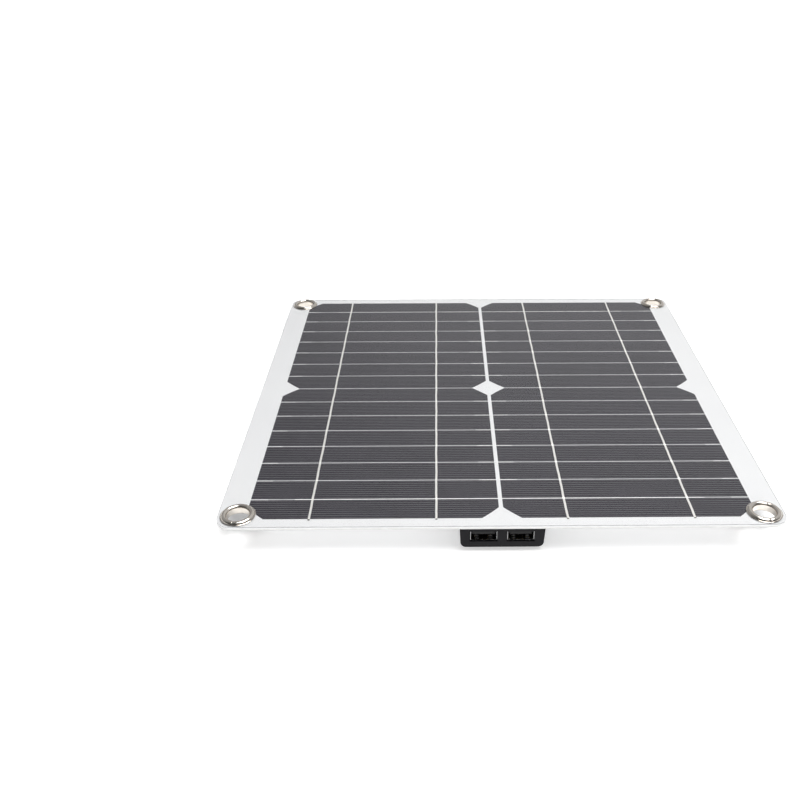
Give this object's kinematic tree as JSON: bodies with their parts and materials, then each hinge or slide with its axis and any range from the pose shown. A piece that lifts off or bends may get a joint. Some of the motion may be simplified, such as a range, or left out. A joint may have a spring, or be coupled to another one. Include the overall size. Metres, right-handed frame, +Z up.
{
  "type": "solar panel",
  "caption": "Thin semi-flexible solar panel: dark cell strips in a white laminated sheet with corner eyelets and a USB output box under its front edge.",
  "frame": {"origin": "under the centre of the sheet, at the level of the output box's foot", "axes": "+X to the right along the edge with the USB sockets, +Y from that front edge to the back edge, +Z up out of the cell side of the sheet"},
  "size_m": [0.28, 0.276, 0.0154],
  "materials": {
    "clear_film": "clear satin-gloss fluoropolymer film",
    "clear_encapsulant": "clear laminating resin",
    "silicon": "dark anti-reflection coated silicon with fine printed fingers",
    "tinned_ribbon": "bright tinned copper ribbon",
    "white_encapsulant": "white laminating resin",
    "fibre_board": "white glass-fibre board",
    "white_backsheet": "white polyester backsheet, fine matt texture",
    "nickel_plate": "polished nickel plate with a warm tone",
    "foam_adhesive": "grey foam tape",
    "black_plastic": "black moulded ABS, fine spark texture",
    "circuit_laminate": "green solder resist",
    "socket_steel": "nickel-plated pressed steel",
    "socket_insulator": "black moulded insulator",
    "gold_plate": "gold flash",
    "ferrite": "dark ferrite",
    "capacitor_can": "drawn can",
    "component_resin": "black moulding resin",
    "lead_insulation": "red insulation"
  },
  "bodies": {
    "root": {"front_film": "clear_film", "front_encapsulant": "clear_encapsulant", "cell_left_01": "silicon", "cell_left_02": "silicon", "cell_left_03": "silicon", "cell_left_04": "silicon", "cell_left_05": "silicon", "cell_left_06": "silicon", "cell_left_07": "silicon", "cell_left_08": "silicon", "cell_left_09": "silicon", "cell_left_10": "silicon", "cell_left_11": "silicon", "cell_left_12": "silicon", "cell_left_13": "silicon", "cell_left_14": "silicon", "cell_left_15": "silicon", "cell_left_16": "silicon", "cell_right_01": "silicon", "cell_right_02": "silicon", "cell_right_03": "silicon", "cell_right_04": "silicon", "cell_right_05": "silicon", "cell_right_06": "silicon", "cell_right_07": "silicon", "cell_right_08": "silicon", "cell_right_09": "silicon", "cell_right_10": "silicon", "cell_right_11": "silicon", "cell_right_12": "silicon", "cell_right_13": "silicon", "cell_right_14": "silicon", "cell_right_15": "silicon", "cell_right_16": "silicon", "string_ribbons_left": "tinned_ribbon", "string_ribbons_right": "tinned_ribbon", "cross_links": "tinned_ribbon", "bus_ribbon_far": "tinned_ribbon", "bus_ribbon_near": "tinned_ribbon", "return_ribbon": "tinned_ribbon", "rear_encapsulant": "white_encapsulant", "base_board": "fibre_board", "backsheet": "white_backsheet", "eyelets": "nickel_plate", "eyelet_washers": "nickel_plate", "adhesive_pad": "foam_adhesive", "box_base": "black_plastic", "box_cover": "black_plastic", "circuit_board": "circuit_laminate", "usb_shell_left": "socket_steel", "usb_shell_right": "socket_steel", "usb_tongue_left": "socket_insulator", "usb_tongue_right": "socket_insulator", "usb_contacts_left": "gold_plate", "usb_contacts_right": "gold_plate", "power_inductor": "ferrite", "smoothing_capacitors": "capacitor_can", "regulator_chip": "component_resin", "blocking_diode": "component_resin", "panel_leads": "lead_insulation"}
  },
  "joints": []
}
